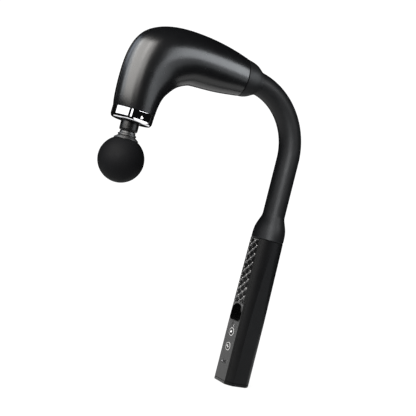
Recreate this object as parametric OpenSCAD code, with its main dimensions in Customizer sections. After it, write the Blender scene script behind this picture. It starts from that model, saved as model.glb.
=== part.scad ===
/* [Handle] */
// Height of the handle, from its base to the neck's flare
handle_h = 153.5; // [150:0.5:160]
// Radius of the handle's lower half
handle_r = 18.2; // [17.8:0.1:19]
// Radius of the handle where it meets the flare
handle_top_r = 17.1; // [16.8:0.1:17.6]
// Distance from the handle's axis to its flat front face
face_x = 15.15; // [14.6:0.05:15.6]
// Thickness of the front panels
panel_t = 1.5; // [1.2:0.1:1.8]
// Wall of the handle's casing
handle_wall = 2.2; // [1.8:0.1:2.3]
// Height of the end cap
cap_h = 3; // [2.5:0.1:4]

/* [Controls] */
// Height where the grip texture meets the control panel
grip_z = 84; // [82:0.1:84.5]
// Width of the display window
display_w = 19; // [12:0.5:19]
// Height of the display window's lower edge
display_z = 65; // [64:0.5:68]
// Height of the power button's centre
power_z = 53; // [51:0.5:55]
// Height of the mode button's centre
mode_z = 37.5; // [36:0.5:39]
// Radius of the button caps
button_r = 3.4; // [3:0.1:4.4]
// Height of the charging port's centre
port_z = 21.6; // [20:0.1:23]
// Height of one diamond in the grip's lattice
diamond_h = 9.06; // [8.5:0.02:9.5]
// Width of one diamond in the grip's lattice
diamond_w = 10.8; // [10:0.1:11.4]
// Height of the lattice's ridges above the front face
ridge_h = 0.5; // [0.4:0.1:0.6]

/* [Neck] */
// Radius of the neck's bend
bend_r = 66.8; // [64:0.1:70]
// Angle of the neck's bend
bend_a = 80; // [78:1:82]
// Height of the bend's centre
bend_z = 239.2; // [235:0.1:243]
// Offset of the neck's axis from the handle's axis
neck_x = 0.5; // [0:0.1:1]
// Outer radius of the rubber sleeve
sleeve_r = 11.75; // [11.5:0.05:12]
// Outer radius of the metal tube inside the sleeve
tube_r = 8; // [7.5:0.1:8.2]

/* [Head] */
// Distance from the handle's axis to the plunger's axis
reach = 183.3; // [183:0.1:184]
// Wall of the head's shells
shell_wall = 2.2; // [1.8:0.1:2.4]
// Height of the nose ring's lower face
ring_z = 231.7; // [231.5:0.1:232]
// Radius of the nose ring
ring_r = 20.3; // [20:0.1:20.6]
// Height of the nose ring
ring_h = 10.9; // [10.5:0.1:11.2]
// Lean of the nose ring
ring_lean = 3; // [0:0.5:3]

/* [Mechanism] */
// Height of the motor's shaft
motor_z = 299; // [298.5:0.5:300]
// Throw of the crank, which is half the stroke
crank_r = 4; // [3:0.5:4]
// Radius of the plunger's rod
rod_r = 5; // [4.5:0.5:5]
// Radius of the plunger's coupling
coupling_r = 8.85; // [8.7:0.05:8.9]
// Radius of the socket for the massage head's stem
socket_r = 5.6; // [5.4:0.1:5.8]

/* [Massage head] */
// Radius of the foam ball
ball_r = 22.15; // [20:0.05:24]
// Height of the foam ball's centre
ball_z = 195.4; // [193:0.1:197]

/* [Hidden] */
$fn = 72;
// Radial clearances: fixed pieces, moving pieces
fit = 0.02;
run = 0.05;

nose_x = -reach;
face_line = -face_x;
panel_back = -face_x + panel_t;
cavity_r = handle_r - handle_wall - 0.1;
cavity_front = panel_back + 0.7;
cell_r = 9.2;
cell_x = 3;
cell_h = 65;
board_x = -9.2;
board_t = 1.6;
switch_top = -11.9;
clamp_z = 139;
ring_top = ring_z + ring_h * cos(ring_lean);
coupling_z = 222.3;
coupling_top = 246;
rod_z = 240;
socket_top = 238.5;
stem_top = 237.5;
guide_z = 253;
guide_top = 285;
bush_r = 8;
roller_r = 3.5;
slot_slack = 0.24 * crank_r;
yoke_half_h = roller_r + slot_slack + 3;
yoke_t = 8;
pin_r = 1.75;
shaft_r = 1.5;
disc_x = nose_x + 5.8;
disc_t = 5.5;
wall_x = nose_x + 12.3;
wall_t = 3;
motor_x = wall_x + wall_t;
bell_r = 15.5;
motor_teeth = 12;
magnet_count = 14;
bend_c = [neck_x - bend_r, bend_z];
neck_end = [bend_c[0] + bend_r * cos(bend_a), bend_c[1] + bend_r * sin(bend_a)];

// ---- Curves and lofts -------------------------------------------------

// A smooth curve through a list of values or points
function spline_at(p, i, t) =
    let (a = p[max(i - 1, 0)], b = p[i], c = p[i + 1], d = p[min(i + 2, len(p) - 1)])
    0.5 * (2 * b + (c - a) * t + (2 * a - 5 * b + 4 * c - d) * t * t
        + (3 * b - a - 3 * c + d) * t * t * t);
function spline(p, steps) = concat(
    [for (i = [0 : len(p) - 2], s = [0 : steps - 1]) spline_at(p, i, s / steps)],
    [p[len(p) - 1]]);

// A section is [inner x, inner z, outer x, outer z, half width]. Its outline
// is an ellipse that lies square to the plane y = 0.
function shrunk(s, wall) =
    let (dx = s[2] - s[0], dz = s[3] - s[1], l = sqrt(dx * dx + dz * dz))
    [s[0] + dx / l * wall, s[1] + dz / l * wall,
     s[2] - dx / l * wall, s[3] - dz / l * wall, s[4] - wall];
function section_point(s, a) = [
    (s[0] + s[2]) / 2 + (s[2] - s[0]) / 2 * cos(a),
    s[4] * sin(a),
    (s[1] + s[3]) / 2 + (s[3] - s[1]) / 2 * cos(a)];
function arc_points(s, a0, a1, n) = [for (i = [0 : n]) section_point(s, a0 + (a1 - a0) * i / n)];

// Skin over equal closed rings, with both ends closed
module skin(rings) {
    n = len(rings[0]);
    last = len(rings) - 1;
    polyhedron(
        points = [for (r = rings, p = r) p],
        faces = concat(
            [[for (j = [0 : n - 1]) j]],
            [for (i = [0 : last - 1], j = [0 : n - 1])
                each [[i * n + j, (i + 1) * n + j, i * n + (j + 1) % n],
                      [i * n + (j + 1) % n, (i + 1) * n + j, (i + 1) * n + (j + 1) % n]]],
            [[for (j = [n - 1 : -1 : 0]) last * n + j]]));
}

module along_x(x) translate([x, 0, 0]) rotate([0, 90, 0]) children();
// Turns a profile about the plunger's axis
module about_nose() translate([nose_x, 0, 0]) children();
// Turns a profile about the motor's axis, with +X along the shaft
module about_motor(x) translate([x, 0, motor_z]) rotate([0, 90, 0]) children();
module tube(r_out, r_in, h) {
    difference() {
        cylinder(r = r_out, h = h);
        translate([0, 0, -1]) cylinder(r = r_in, h = h + 2);
    }
}

// ---- Head shells --------------------------------------------------------

ring_dz = ring_r * sin(ring_lean);
ring_dx = ring_h * sin(ring_lean);
head_sections = spline([
    [nose_x + ring_dx + ring_r, ring_top - ring_dz,
     nose_x + ring_dx - ring_r, ring_top + ring_dz, 20.3],
    [nose_x + 22, 250.5, nose_x - 20.8, 252, 20.7],
    [nose_x + 25.2, 261, nose_x - 21.1, 277, 21.2],
    [nose_x + 29.9, 267.8, nose_x - 17.6, 301, 21.6],
    [nose_x + 34.2, 272.7, nose_x - 8.4, 317.3, 21.9],
    [nose_x + 39.7, 276.9, nose_x + 10, 327.7, 22.1],
    [nose_x + 47.1, 280.4, nose_x + 33, 332, 22.2],
    [nose_x + 55.3, 281.8, nose_x + 55.3, 332.3, 22],
    [nose_x + 75, 282.9, nose_x + 75, 330.8, 21],
    [nose_x + 92, 284.8, nose_x + 92, 328.2, 18.9],
    [nose_x + 104.8, 286.7, nose_x + 104.8, 325.6, 16]
], 3);
shell_turn = 20;

module head_half(side) {
    skin([for (s = head_sections) side > 0
        ? concat(arc_points(s, 180, 0, shell_turn),
                 arc_points(shrunk(s, shell_wall), 0, 180, shell_turn))
        : concat(arc_points(s, 0, -180, shell_turn),
                 arc_points(shrunk(s, shell_wall), -180, 0, shell_turn))]);
}

// Places of the shell screws: [x, z, y of the head's seat, shank length]
screw_places = [[nose_x + 6, 269, 19.6, 12], [nose_x + 95, 309, 16.4, 8]];

module head_shell_left() {
    color("#1b1b1d") difference() {
        head_half(1);
        for (p = screw_places) translate([p[0], p[2], p[1]]) rotate([-90, 0, 0]) {
            cylinder(r = 2.4, h = 12, $fn = 24);
            translate([0, 0, -4]) cylinder(r = 1.3, h = 12, $fn = 24);
        }
    }
}
module head_shell_right() {
    color("#1b1b1d") difference() {
        head_half(-1);
        // shallow seat in the inner wall for the wires
        translate([nose_x + 60, -20, 300]) cube([4, 4, 8]);
    }
}
module shell_screws() {
    color("#33353a") for (p = screw_places) translate([p[0], p[2], p[1]]) rotate([-90, 0, 0])
        difference() {
            union() {
                cylinder(r = 2.2, h = 1.2);
                translate([0, 0, -p[3]]) cylinder(r = 1.2, h = p[3] + 0.5);
            }
            translate([0, 0, 0.5]) cylinder(r = 1.1, h = 2, $fn = 6);
        }
}

// ---- Nose ---------------------------------------------------------------

ring_round = 3.2;
ring_bore = 10.4;
ring_in = ring_r - 2.3;
module nose_ring() {
    color("#e8eaee") translate([nose_x, 0, ring_z]) rotate([0, ring_lean, 0])
        rotate_extrude() polygon(concat(
            [[ring_bore, 0]],
            [for (a = [-90 : 15 : 0]) [ring_r - 0.15 - ring_round + ring_round * cos(a),
                                       ring_round + ring_round * sin(a)]],
            [[ring_r, ring_h], [ring_in, ring_h], [ring_in, 2], [ring_bore, 2]]));
}
// A small arrowhead on the ring's near side
module ring_mark() {
    color("white") translate([nose_x, 0, ring_z]) rotate([0, ring_lean, 0])
        intersection() {
            translate([0, 0, 1]) tube(ring_r + 0.15, ring_r + fit, ring_h);
            rotate([90, 0, 4]) translate([0, 0, ring_r - 2]) linear_extrude(4)
                polygon([[-1.3, 3.3], [1.3, 5], [-1.3, 6.7]]);
        }
}
module dust_seal() {
    color("#151515") about_nose() translate([0, 0, ring_z - 0.4])
        tube(ring_bore - 0.25, coupling_r + 0.08, 3.6);
}
module guide_bush() {
    color("#b58a4a") about_nose() translate([0, 0, guide_z])
        tube(bush_r, rod_r + run, guide_top - guide_z - 1);
}
module mechanism_frame() {
    color("#8d9196") difference() {
        union() {
            about_nose() translate([0, 0, guide_z - 1]) cylinder(r = 14, h = guide_top - guide_z + 1);
            translate([wall_x, -13, guide_z + 3]) cube([wall_t, 26, 60]);
        }
        about_nose() translate([0, 0, guide_z - 2])
            cylinder(r = bush_r + fit, h = guide_top - guide_z + 4);
        about_motor(wall_x - 1) cylinder(r = 5, h = wall_t + 2);
        for (a = [45 : 90 : 315]) about_motor(wall_x - 1) rotate([0, 0, a]) translate([12, 0, 0])
            cylinder(r = 1.1, h = wall_t + 2, $fn = 24);
        translate([nose_x + 6, 4, 269]) rotate([-90, 0, 0]) cylinder(r = 1.25, h = 14, $fn = 24);
    }
}

// ---- Motor --------------------------------------------------------------

base_t = 2.5;
base_tube_r = 4.5;
stator_x = motor_x + base_t + 2.5;
stator_l = 17;
stator_r = 11.4;
bell_x = motor_x + base_t + 1;
bell_l = 25;
module motor_base() {
    color("#a8abb0") difference() {
        union() {
            about_motor(motor_x) cylinder(r = 15, h = base_t);
            about_motor(motor_x) cylinder(r = base_tube_r, h = 22);
        }
        about_motor(motor_x - 1) cylinder(r = 3.5, h = 24);
        for (a = [45 : 90 : 315]) about_motor(motor_x - 1) rotate([0, 0, a]) translate([12, 0, 0])
            cylinder(r = 1.1, h = base_t + 2, $fn = 24);
    }
}
module motor_bearings() {
    color("#c9ccd1") for (x = [motor_x, motor_x + 18]) about_motor(x)
        tube(3.5 - fit, shaft_r + run, 4);
}
module stator_core() {
    color("#5a5550") difference() {
        about_motor(stator_x) cylinder(r = stator_r, h = stator_l);
        about_motor(stator_x - 1) cylinder(r = base_tube_r + fit, h = stator_l + 2);
        for (i = [0 : motor_teeth - 1]) about_motor(stator_x - 1) rotate([0, 0, 360 * i / motor_teeth])
            union() {
                translate([6.4, -1.2, 0]) cube([3.2, 2.4, stator_l + 2]);
                translate([9, -0.3, 0]) cube([4, 0.6, stator_l + 2]);
            }
    }
}
module stator_windings() {
    color("#b3622f") for (i = [0 : motor_teeth - 1])
        about_motor(stator_x - 1) rotate([0, 0, 360 * i / motor_teeth])
            translate([6.5, -1.1, 0]) cube([3, 2.2, stator_l + 2]);
}
module motor_screws() {
    color("#2d2f33") for (a = [45 : 90 : 315]) about_motor(wall_x - 1.4) rotate([0, 0, a])
        translate([12, 0, 0]) difference() {
            union() {
                cylinder(r = 1.9, h = 1.4);
                cylinder(r = 1.05, h = 1.4 + wall_t + base_t);
            }
            translate([0, 0, -0.5]) cylinder(r = 0.9, h = 1.2, $fn = 6);
        }
}
module rotor_bell() {
    color("#3c3f45") difference() {
        about_motor(bell_x) cylinder(r = bell_r, h = bell_l);
        about_motor(bell_x - 1) cylinder(r = bell_r - 2.2, h = bell_l - 1.5);
        about_motor(bell_x) cylinder(r = shaft_r + fit, h = bell_l + 1);
        for (i = [0 : 5]) about_motor(bell_x) rotate([0, 0, 60 * i]) translate([8, 0, 0])
            cylinder(r = 2.4, h = bell_l + 1, $fn = 32);
    }
}
module rotor_magnets() {
    color("#70757c") difference() {
        about_motor(bell_x + 1) tube(bell_r - 2.2 - fit, stator_r + 0.45, 19);
        for (i = [0 : magnet_count - 1]) about_motor(bell_x) rotate([0, 0, 360 * i / magnet_count])
            translate([9, -0.25, 0]) cube([8, 0.5, 22]);
    }
}
module motor_shaft() {
    color("#d5d8dc") about_motor(disc_x + 0.5)
        cylinder(r = shaft_r, h = bell_x + bell_l - disc_x);
}

// ---- Crank and plunger --------------------------------------------------

module eccentric() {
    color("#9a7b3c") difference() {
        about_motor(disc_x) cylinder(r = 9, h = disc_t);
        translate([disc_x - 1, 6.4, motor_z - 10]) cube([disc_t + 2, 8, 20]);
        about_motor(disc_x - 1) cylinder(r = shaft_r + fit, h = disc_t + 2);
        translate([0, crank_r, 0]) about_motor(disc_x - 1) cylinder(r = pin_r + fit, h = disc_t + 2);
    }
}
module crank_pin() {
    color("#d5d8dc") translate([0, crank_r, 0]) about_motor(nose_x - 3.6)
        cylinder(r = pin_r, h = disc_x + disc_t - nose_x + 3.6);
}
module roller_bearing() {
    color("#b9bdc3") translate([0, crank_r, 0]) about_motor(nose_x - 3.2)
        tube(roller_r, pin_r + fit, 6.4);
}
module plunger_yoke() {
    slot_half_y = crank_r + roller_r + 0.4;
    slot_half_z = roller_r + slot_slack;
    color("#aeb2b8") difference() {
        translate([nose_x - yoke_t / 2, -slot_half_y - 2.8, motor_z - yoke_half_h])
            cube([yoke_t, 2 * slot_half_y + 5.6, 2 * yoke_half_h]);
        translate([nose_x - yoke_t, -slot_half_y, motor_z - slot_half_z])
            cube([2 * yoke_t, 2 * slot_half_y, 2 * slot_half_z]);
    }
}
module plunger_rod() {
    color("#d5d8dc") about_nose() translate([0, 0, rod_z])
        cylinder(r = rod_r, h = motor_z - yoke_half_h - rod_z);
}
module plunger_coupling() {
    color("#101012") about_nose() difference() {
        rotate_extrude() polygon([
            [0, coupling_z], [coupling_r - 1.2, coupling_z], [coupling_r, coupling_z + 1.2],
            [coupling_r, coupling_top - 1], [coupling_r - 1, coupling_top], [0, coupling_top]]);
        translate([0, 0, coupling_z - 1]) cylinder(r = socket_r, h = socket_top - coupling_z + 1);
        translate([0, 0, rod_z]) cylinder(r = rod_r + fit, h = 10);
    }
}

// ---- Massage head -------------------------------------------------------

o_ring_places = [226.5, 233];
stem_r = socket_r - run;
module stem_core() {
    color("#4b4d50") about_nose() difference() {
        rotate_extrude() polygon([
            [0, ball_z - 4], [9, ball_z - 4], [9, ball_z], [6, ball_z + 2], [6, 212.5],
            [10.6, 212.5], [11.1, 213], [11.1, 214.65], [11.7, 214.65], [11.9, 214.85],
            [11.9, 215.2], [11.3, 215.6], [8.9, 217.4], [8.3, 217.7], [8.3, 218], [8.9, 218.3],
            [8.9, 219.4], [8.5, 219.8], [7.6, 220.2],
            [7.6, coupling_z - 0.35], [stem_r, coupling_z - 0.35],
            [stem_r, stem_top - 1], [stem_r - 1, stem_top], [0, stem_top]]);
        for (z = o_ring_places) rotate_extrude() translate([stem_r - 1.15, z - 0.65])
            square([3, 1.3]);
    }
}
module o_rings() {
    color("#9b2f24") about_nose() for (z = o_ring_places)
        rotate_extrude() translate([stem_r - 0.56, z]) circle(r = 0.58, $fn = 24);
}
module foam_ball() {
    color("#222224") about_nose() difference() {
        translate([0, 0, ball_z]) sphere(r = ball_r);
        rotate_extrude() polygon([
            [0, ball_z - 4.02], [9.02, ball_z - 4.02], [9.02, ball_z + 0.02],
            [6.02, ball_z + 2.02], [6.02, 212.48], [11.15, 212.48], [11.15, 230], [0, 230]]);
    }
}

// ---- Neck ---------------------------------------------------------------

// Round bar up the handle's axis and around an angle of the neck's bend
module neck_bar(r, z0, angle) {
    translate([neck_x, 0, z0]) cylinder(r = r, h = bend_z - z0);
    translate([bend_c[0], 0, bend_c[1]]) rotate([90, 0, 0])
        rotate_extrude(angle = angle) translate([bend_r, 0]) circle(r = r);
}
// The same bar, going on into the barrel for a length of tail
module neck_run(r, z0, tail) {
    neck_bar(r, z0, bend_a);
    along_neck_end(-0.3) cylinder(r = r - 0.1, h = tail + 0.3);
}
module along_neck_end(offset) {
    translate([neck_end[0], 0, neck_end[1]]) rotate([0, -bend_a, 0]) translate([0, 0, offset])
        children();
}
flare_h = 27.5;
flare_r = handle_top_r - 0.2;
flare_top_r = sleeve_r - 0.35;
flare_steps = 22;
module neck_sleeve() {
    color("#1e1e20") difference() {
        union() {
            neck_bar(sleeve_r, handle_h + 1, bend_a);
            along_neck_end(-0.3) cylinder(r = sleeve_r - 0.1, h = sleeve_tail + 0.3);
            translate([neck_x / 2, 0, handle_h]) rotate_extrude() polygon(concat(
                [[0, 0]],
                [for (i = [0 : flare_steps]) let (t = i / flare_steps)
                    [flare_top_r + (flare_r - flare_top_r) * (0.5 + 0.5 * cos(180 * pow(t, 1.7))),
                     flare_h * t]],
                [[0, flare_h]]));
        }
        neck_bar(tube_r + fit, handle_h - 1, bend_a);
        along_neck_end(-0.3) cylinder(r = tube_r - 0.08, h = sleeve_tail + 1);
    }
}
module neck_tube() {
    color("#9fa3a8") difference() {
        neck_run(tube_r, clamp_z, 36);
        neck_run(tube_r - 1.5, clamp_z - 1, 37);
    }
}
// Rubber boot between the neck and the head, ending where the sleeve ends
sleeve_tail = 4.4;
sleeve_tip = [neck_end[0] - sleeve_tail * sin(bend_a), neck_end[1] + sleeve_tail * cos(bend_a)];
boot_sections = spline([
    [nose_x + 104.8, 286.9, nose_x + 104.8, 325.4, 15.8],
    [nose_x + 110.3, 287.4, nose_x + 111.3, 324.4, 15.6],
    [nose_x + 115.8, 289.2, nose_x + 118.1, 322.3, 14.7],
    [nose_x + 118.8, 291, nose_x + 122.4, 319.5, 13.3],
    [sleeve_tip[0] - 13 * cos(bend_a), sleeve_tip[1] - 13 * sin(bend_a),
     sleeve_tip[0] + sleeve_r * cos(bend_a), sleeve_tip[1] + sleeve_r * sin(bend_a), sleeve_r]
], 3);
module neck_boot() {
    color("#1e1e20") difference() {
        skin([for (s = boot_sections) arc_points(s, 360, 10, 35)]);
        along_neck_end(-5) cylinder(r = tube_r + fit, h = 60);
    }
}
module neck_upper_clamp() {
    color("#55585d") difference() {
        along_x(nose_x + 88) translate([-307.5, 0, 0]) cylinder(r = 13, h = 14);
        along_neck_end(0) cylinder(r = tube_r + fit, h = 60);
        translate([nose_x + 95, 7, 309]) rotate([-90, 0, 0]) cylinder(r = 1.25, h = 12, $fn = 24);
    }
}
module neck_lower_clamp() {
    color("#55585d") difference() {
        translate([0, 0, clamp_z]) cylinder(r = handle_top_r - handle_wall - 0.3, h = handle_h - clamp_z);
        translate([face_line - 10 + 2.4, -20, clamp_z - 1]) cube([10, 40, 30]);
        translate([neck_x, 0, clamp_z - 1]) cylinder(r = tube_r + fit, h = 30);
        for (s = [-1, 1]) translate([neck_x, 0, 146.5]) rotate([-90 * s, 0, 0]) cylinder(r = 1.5, h = 20);
    }
}
module clamp_screws() {
    color("#2d2f33") for (s = [-1, 1]) translate([neck_x, 0, 146.5]) rotate([-90 * s, 0, 0])
        translate([0, 0, tube_r + 0.1]) difference() {
            cylinder(r = 1.5 - fit, h = 5.5);
            translate([0, 0, 4]) cylinder(r = 0.8, h = 3, $fn = 6);
        }
}
module wire_harness() {
    color("#7a2a2a") neck_run(2.4, clamp_z - 1.2, 43);
}

// ---- Electronics in the head --------------------------------------------

driver_x = nose_x + 50;
driver_z = 293;
module driver_board() {
    color("#1f5c3a") translate([driver_x, -12, driver_z]) cube([30, 24, 1.6]);
}
module driver_components() {
    color("#2b2b2e") {
        for (i = [0 : 2]) translate([driver_x + 5 + 8.5 * i, 6, driver_z + 1.6]) cylinder(r = 3.5, h = 9);
        for (i = [0 : 3]) translate([driver_x + 2 + 7 * i, -9, driver_z + 1.6]) cube([5, 6, 1.6]);
    }
}

// ---- Handle -------------------------------------------------------------

flat_tilt = 0.3;
knee_z = 70;
// The handle's outer form between two heights
module handle_form(z0, z1) {
    intersection() {
        rotate_extrude() polygon(concat(
            z0 > 0 ? [[0, z0], [handle_at(z0), z0]]
                   : [[0, 0], [handle_r - 0.9, 0], [handle_r, 0.9]],
            z0 < knee_z && z1 > knee_z ? [[handle_r, knee_z]] : [],
            [[handle_at(z1), z1], [0, z1]]));
        translate([face_line, -30, -1]) cube([60, 60, 170]);
        for (s = [-1, 1]) rotate([s * -flat_tilt, 0, 0]) translate([-30, s > 0 ? -60 : -16.4, -1])
            cube([60, 76.4, 180]);
    }
}
function handle_at(z) =
    handle_r - (handle_r - handle_top_r) * max(0, z - knee_z) / (handle_h - knee_z);
// The cut that separates the front panels from the casing
module front_slab(x, z0, z1) translate([x - 20, -20, z0]) cube([20, 40, z1 - z0]);
module across_front(z) translate([0, 0, z]) rotate([0, -90, 0]) children();

seam = 0.2;
module handle_shell() {
    color("#1c1c1e") difference() {
        union() {
            difference() {
                handle_form(cap_h + seam, handle_h);
                difference() {
                    translate([0, 0, cap_h - 1]) union() {
                        cylinder(r = cavity_r, h = clamp_z - cap_h + 1.02);
                        translate([0, 0, clamp_z - cap_h + 1]) cylinder(
                            r = handle_top_r - handle_wall - 0.28, h = 20);
                    }
                    front_slab(cavity_front, 0, 160);
                }
                front_slab(panel_back, 0, handle_h + 1);
                translate([panel_back - 5, -6.6, 12]) cube([10, 13.2, 76]);
            }
            for (s = [-1, 1]) translate([0, s * 13, cap_h + seam]) cylinder(r = 3.2, h = 12);
            for (z = board_screw_z, s = [-1, 1]) translate([0, s * 6.8, z]) rotate([0, -90, 0])
                translate([0, 0, -board_x + fit]) cylinder(r = 1.8, h = 4.1);
        }
        for (s = [-1, 1]) translate([0, s * 13, 0]) cylinder(r = 1.1, h = 13, $fn = 24);
        for (z = board_screw_z, s = [-1, 1]) translate([0, s * 6.8, z]) rotate([0, -90, 0])
            cylinder(r = 0.9, h = 12, $fn = 24);
    }
}
// Rows of diamonds, and the slope of the lattice's ridges
lattice_rows = floor((handle_h - grip_z - 5) / diamond_h);
lattice_z = grip_z + 2.6;
ridge_a = atan(diamond_h / diamond_w);
module grip_ridge(z, side) {
    translate([-face_x, 0, z]) rotate([side * ridge_a, 0, 0]) rotate([0, 45, 0])
        cube([1.414 * ridge_h, 60, 1.414 * ridge_h], center = true);
}
module grip_panel() {
    color("#18181a") {
        intersection() {
            handle_form(grip_z, handle_h - 0.1);
            front_slab(panel_back - fit, grip_z + 0.1, handle_h - 0.1);
        }
        intersection() {
            for (i = [-1 : lattice_rows + 1], side = [-1, 1]) grip_ridge(lattice_z + i * diamond_h, side);
            translate([-face_x - 2, -7.6, grip_z + 1]) cube([3, 15.2, handle_h - grip_z - 2.2]);
        }
    }
}
module display_form(grow) {
    r = display_w / 2 + grow;
    across_front(0) {
        translate([grip_z - 0.8 - display_w / 2, 0, face_x - panel_t]) cylinder(r = r, h = 2.1);
        translate([display_z + 3, -r, face_x - panel_t])
            cube([grip_z - 3.8 - display_w / 2 - display_z, 2 * r, 2.1]);
        for (s = [-1, 1]) translate([display_z + 3, s * (r - 3 - grow), face_x - panel_t])
            cylinder(r = 3 + grow, h = 2.1);
        translate([display_z - grow, -r + 3 + grow, face_x - panel_t])
            cube([4, 2 * r - 6 - 2 * grow, 2.1]);
    }
}
// Shallow round dimple between the display and the power button
dimple_z = 61.35;
dimple_r = 3.45;
dimple_depth = 0.85;
dimple_ball = (dimple_r * dimple_r + dimple_depth * dimple_depth) / (2 * dimple_depth);
module control_panel() {
    color("#232427") difference() {
        intersection() {
            handle_form(cap_h + seam, grip_z);
            front_slab(panel_back - fit, cap_h + seam, grip_z);
        }
        display_form(0.05);
        for (z = [power_z, mode_z]) across_front(z) cylinder(r = button_r + 1.05, h = 30);
        translate([-face_x + dimple_depth - dimple_ball, 0, dimple_z]) sphere(r = dimple_ball);
        port_slot(1.75, 0, 30);
    }
}
module display_lens() {
    color("#050506") intersection() {
        display_form(0);
        translate([face_line - 0.45, -20, 0]) cube([10, 40, 100]);
    }
}
module display_module() {
    color("#1a2730") translate([-13, -5.5, display_z + 2]) cube([3.6, 11, 14]);
}
module light_rings() {
    color("white") for (z = [power_z, mode_z]) across_front(z)
        translate([0, 0, face_x - panel_t + 0.02]) tube(button_r + 1, button_r + 0.08, panel_t);
}
module button_cap() {
    across_front(0) {
        translate([0, 0, 13]) cylinder(r = button_r, h = 2.7);
        translate([0, 0, 12.7]) cylinder(r = button_r + 0.9, h = 0.6);
    }
}
module power_button() {
    color("#2a2b2e") translate([0, 0, power_z]) button_cap();
}
module mode_button() {
    color("#2a2b2e") translate([0, 0, mode_z]) button_cap();
}
module tact_switches() {
    color("#c7c9cc") for (z = [power_z, mode_z]) {
        translate([board_x - 2.2, -3, z - 3]) cube([2.2, 6, 6]);
        across_front(z) translate([0, 0, -board_x + 2.2]) cylinder(r = 1.7, h = -switch_top + board_x - 2.2);
    }
}
board_screw_z = [28, 86];
module control_board() {
    color("#1f5c3a") difference() {
        translate([board_x, -8.5, 16]) cube([board_t, 17, 73]);
        for (z = board_screw_z, s = [-1, 1]) translate([board_x - 1, s * 6.8, z])
            rotate([0, 90, 0]) cylinder(r = 0.9, h = 5, $fn = 24);
    }
}
module board_screws() {
    color("#2d2f33") for (z = board_screw_z, s = [-1, 1]) translate([0, s * 6.8, z])
        rotate([0, -90, 0]) {
            translate([0, 0, -board_x - board_t - 0.4]) cylinder(r = 0.88, h = board_t + 2.4);
            translate([0, 0, -board_x - board_t - 1.2]) cylinder(r = 1.4, h = 1.2);
        }
}
// Slot with round ends, reaching from one depth to another behind the face
module port_slot(r, near, far) {
    across_front(port_z) {
        for (s = [-1, 1]) translate([0, s * 2.9, near]) cylinder(r = r, h = far - near);
        translate([-r, -2.9, near]) cube([2 * r, 5.8, far - near]);
    }
}
module charging_port() {
    color("#b9bcc2") difference() {
        port_slot(1.6, -board_x + fit, 15);
        port_slot(1.3, -board_x + 1, 20);
    }
    color("#1a1a1c") translate([-14.6, -2.6, port_z - 0.5]) cube([4.6, 5.2, 1]);
}
module cell(z) {
    translate([cell_x, 0, z]) {
        cylinder(r = cell_r, h = cell_h);
        translate([0, 0, cell_h]) cylinder(r = 3, h = 0.7);
    }
}
module lower_cell() {
    color("#2f6d8c") cell(5);
}
module upper_cell() {
    color("#2f6d8c") cell(5 + cell_h + 1.4);
}
module battery_holder() {
    color("#303236") difference() {
        union() {
            translate([cell_x, 0, 4.6]) cylinder(r = cell_r + 1.4, h = 133);
            translate([cell_x + 8, -3, 4.6]) cube([cavity_r - cell_x - 8.4, 6, 133]);
        }
        translate([cell_x, 0, 4]) cylinder(r = cell_r + 0.1, h = 135);
        translate([cell_x + 2.5 - 30, -20, 0]) cube([30, 40, 160]);
    }
}
module battery_contacts() {
    color("#c9ccd1") {
        translate([cell_x, 0, 4.3]) cylinder(r = 5, h = 0.7);
        translate([cell_x, 0, 5 + cell_h + 0.7]) cylinder(r = 4, h = 0.7);
        translate([cell_x, 0, 5 + 2 * cell_h + 2.1]) cylinder(r = 5, h = 0.7);
    }
}
module end_cap() {
    color("#18181a") difference() {
        union() {
            handle_form(0, cap_h);
            intersection() {
                cylinder(r = cavity_r - 0.1, h = cap_h + 1.1);
                translate([cavity_front + 0.1, -20, 0]) cube([40, 40, 10]);
            }
        }
        for (s = [-1, 1]) translate([0, s * 13, 0]) {
            translate([0, 0, cap_h]) cylinder(r = 3.4, h = 3);
            translate([0, 0, -1]) cylinder(r = 1.4, h = 6, $fn = 24);
            translate([0, 0, -1]) cylinder(r = 2.4, h = 2.4);
        }
    }
}
module end_cap_screws() {
    color("#2d2f33") for (s = [-1, 1]) translate([0, s * 13, 0]) difference() {
        union() {
            translate([0, 0, 0.2]) cylinder(r = 2.2, h = 1.2);
            translate([0, 0, 0.2]) cylinder(r = 1.08, h = 12);
        }
        translate([0, 0, -0.5]) cylinder(r = 1.1, h = 1.3, $fn = 6);
    }
}

head_shell_left();
head_shell_right();
shell_screws();
nose_ring();
ring_mark();
dust_seal();
guide_bush();
mechanism_frame();
motor_base();
motor_bearings();
stator_core();
stator_windings();
motor_screws();
driver_board();
driver_components();
neck_upper_clamp();
neck_boot();
neck_sleeve();
neck_tube();
neck_lower_clamp();
clamp_screws();
wire_harness();
handle_shell();
grip_panel();
control_panel();
display_lens();
display_module();
light_rings();
tact_switches();
control_board();
board_screws();
charging_port();
lower_cell();
upper_cell();
battery_holder();
battery_contacts();
end_cap();
end_cap_screws();
rotor_bell();
rotor_magnets();
motor_shaft();
eccentric();
crank_pin();
roller_bearing();
plunger_yoke();
plunger_rod();
plunger_coupling();
stem_core();
o_rings();
foam_ball();
power_button();
mode_button();
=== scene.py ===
"""Looks for the massage gun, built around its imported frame."""

import math

import bmesh
import bpy
import numpy as np
from mathutils import Matrix, Vector


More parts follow.
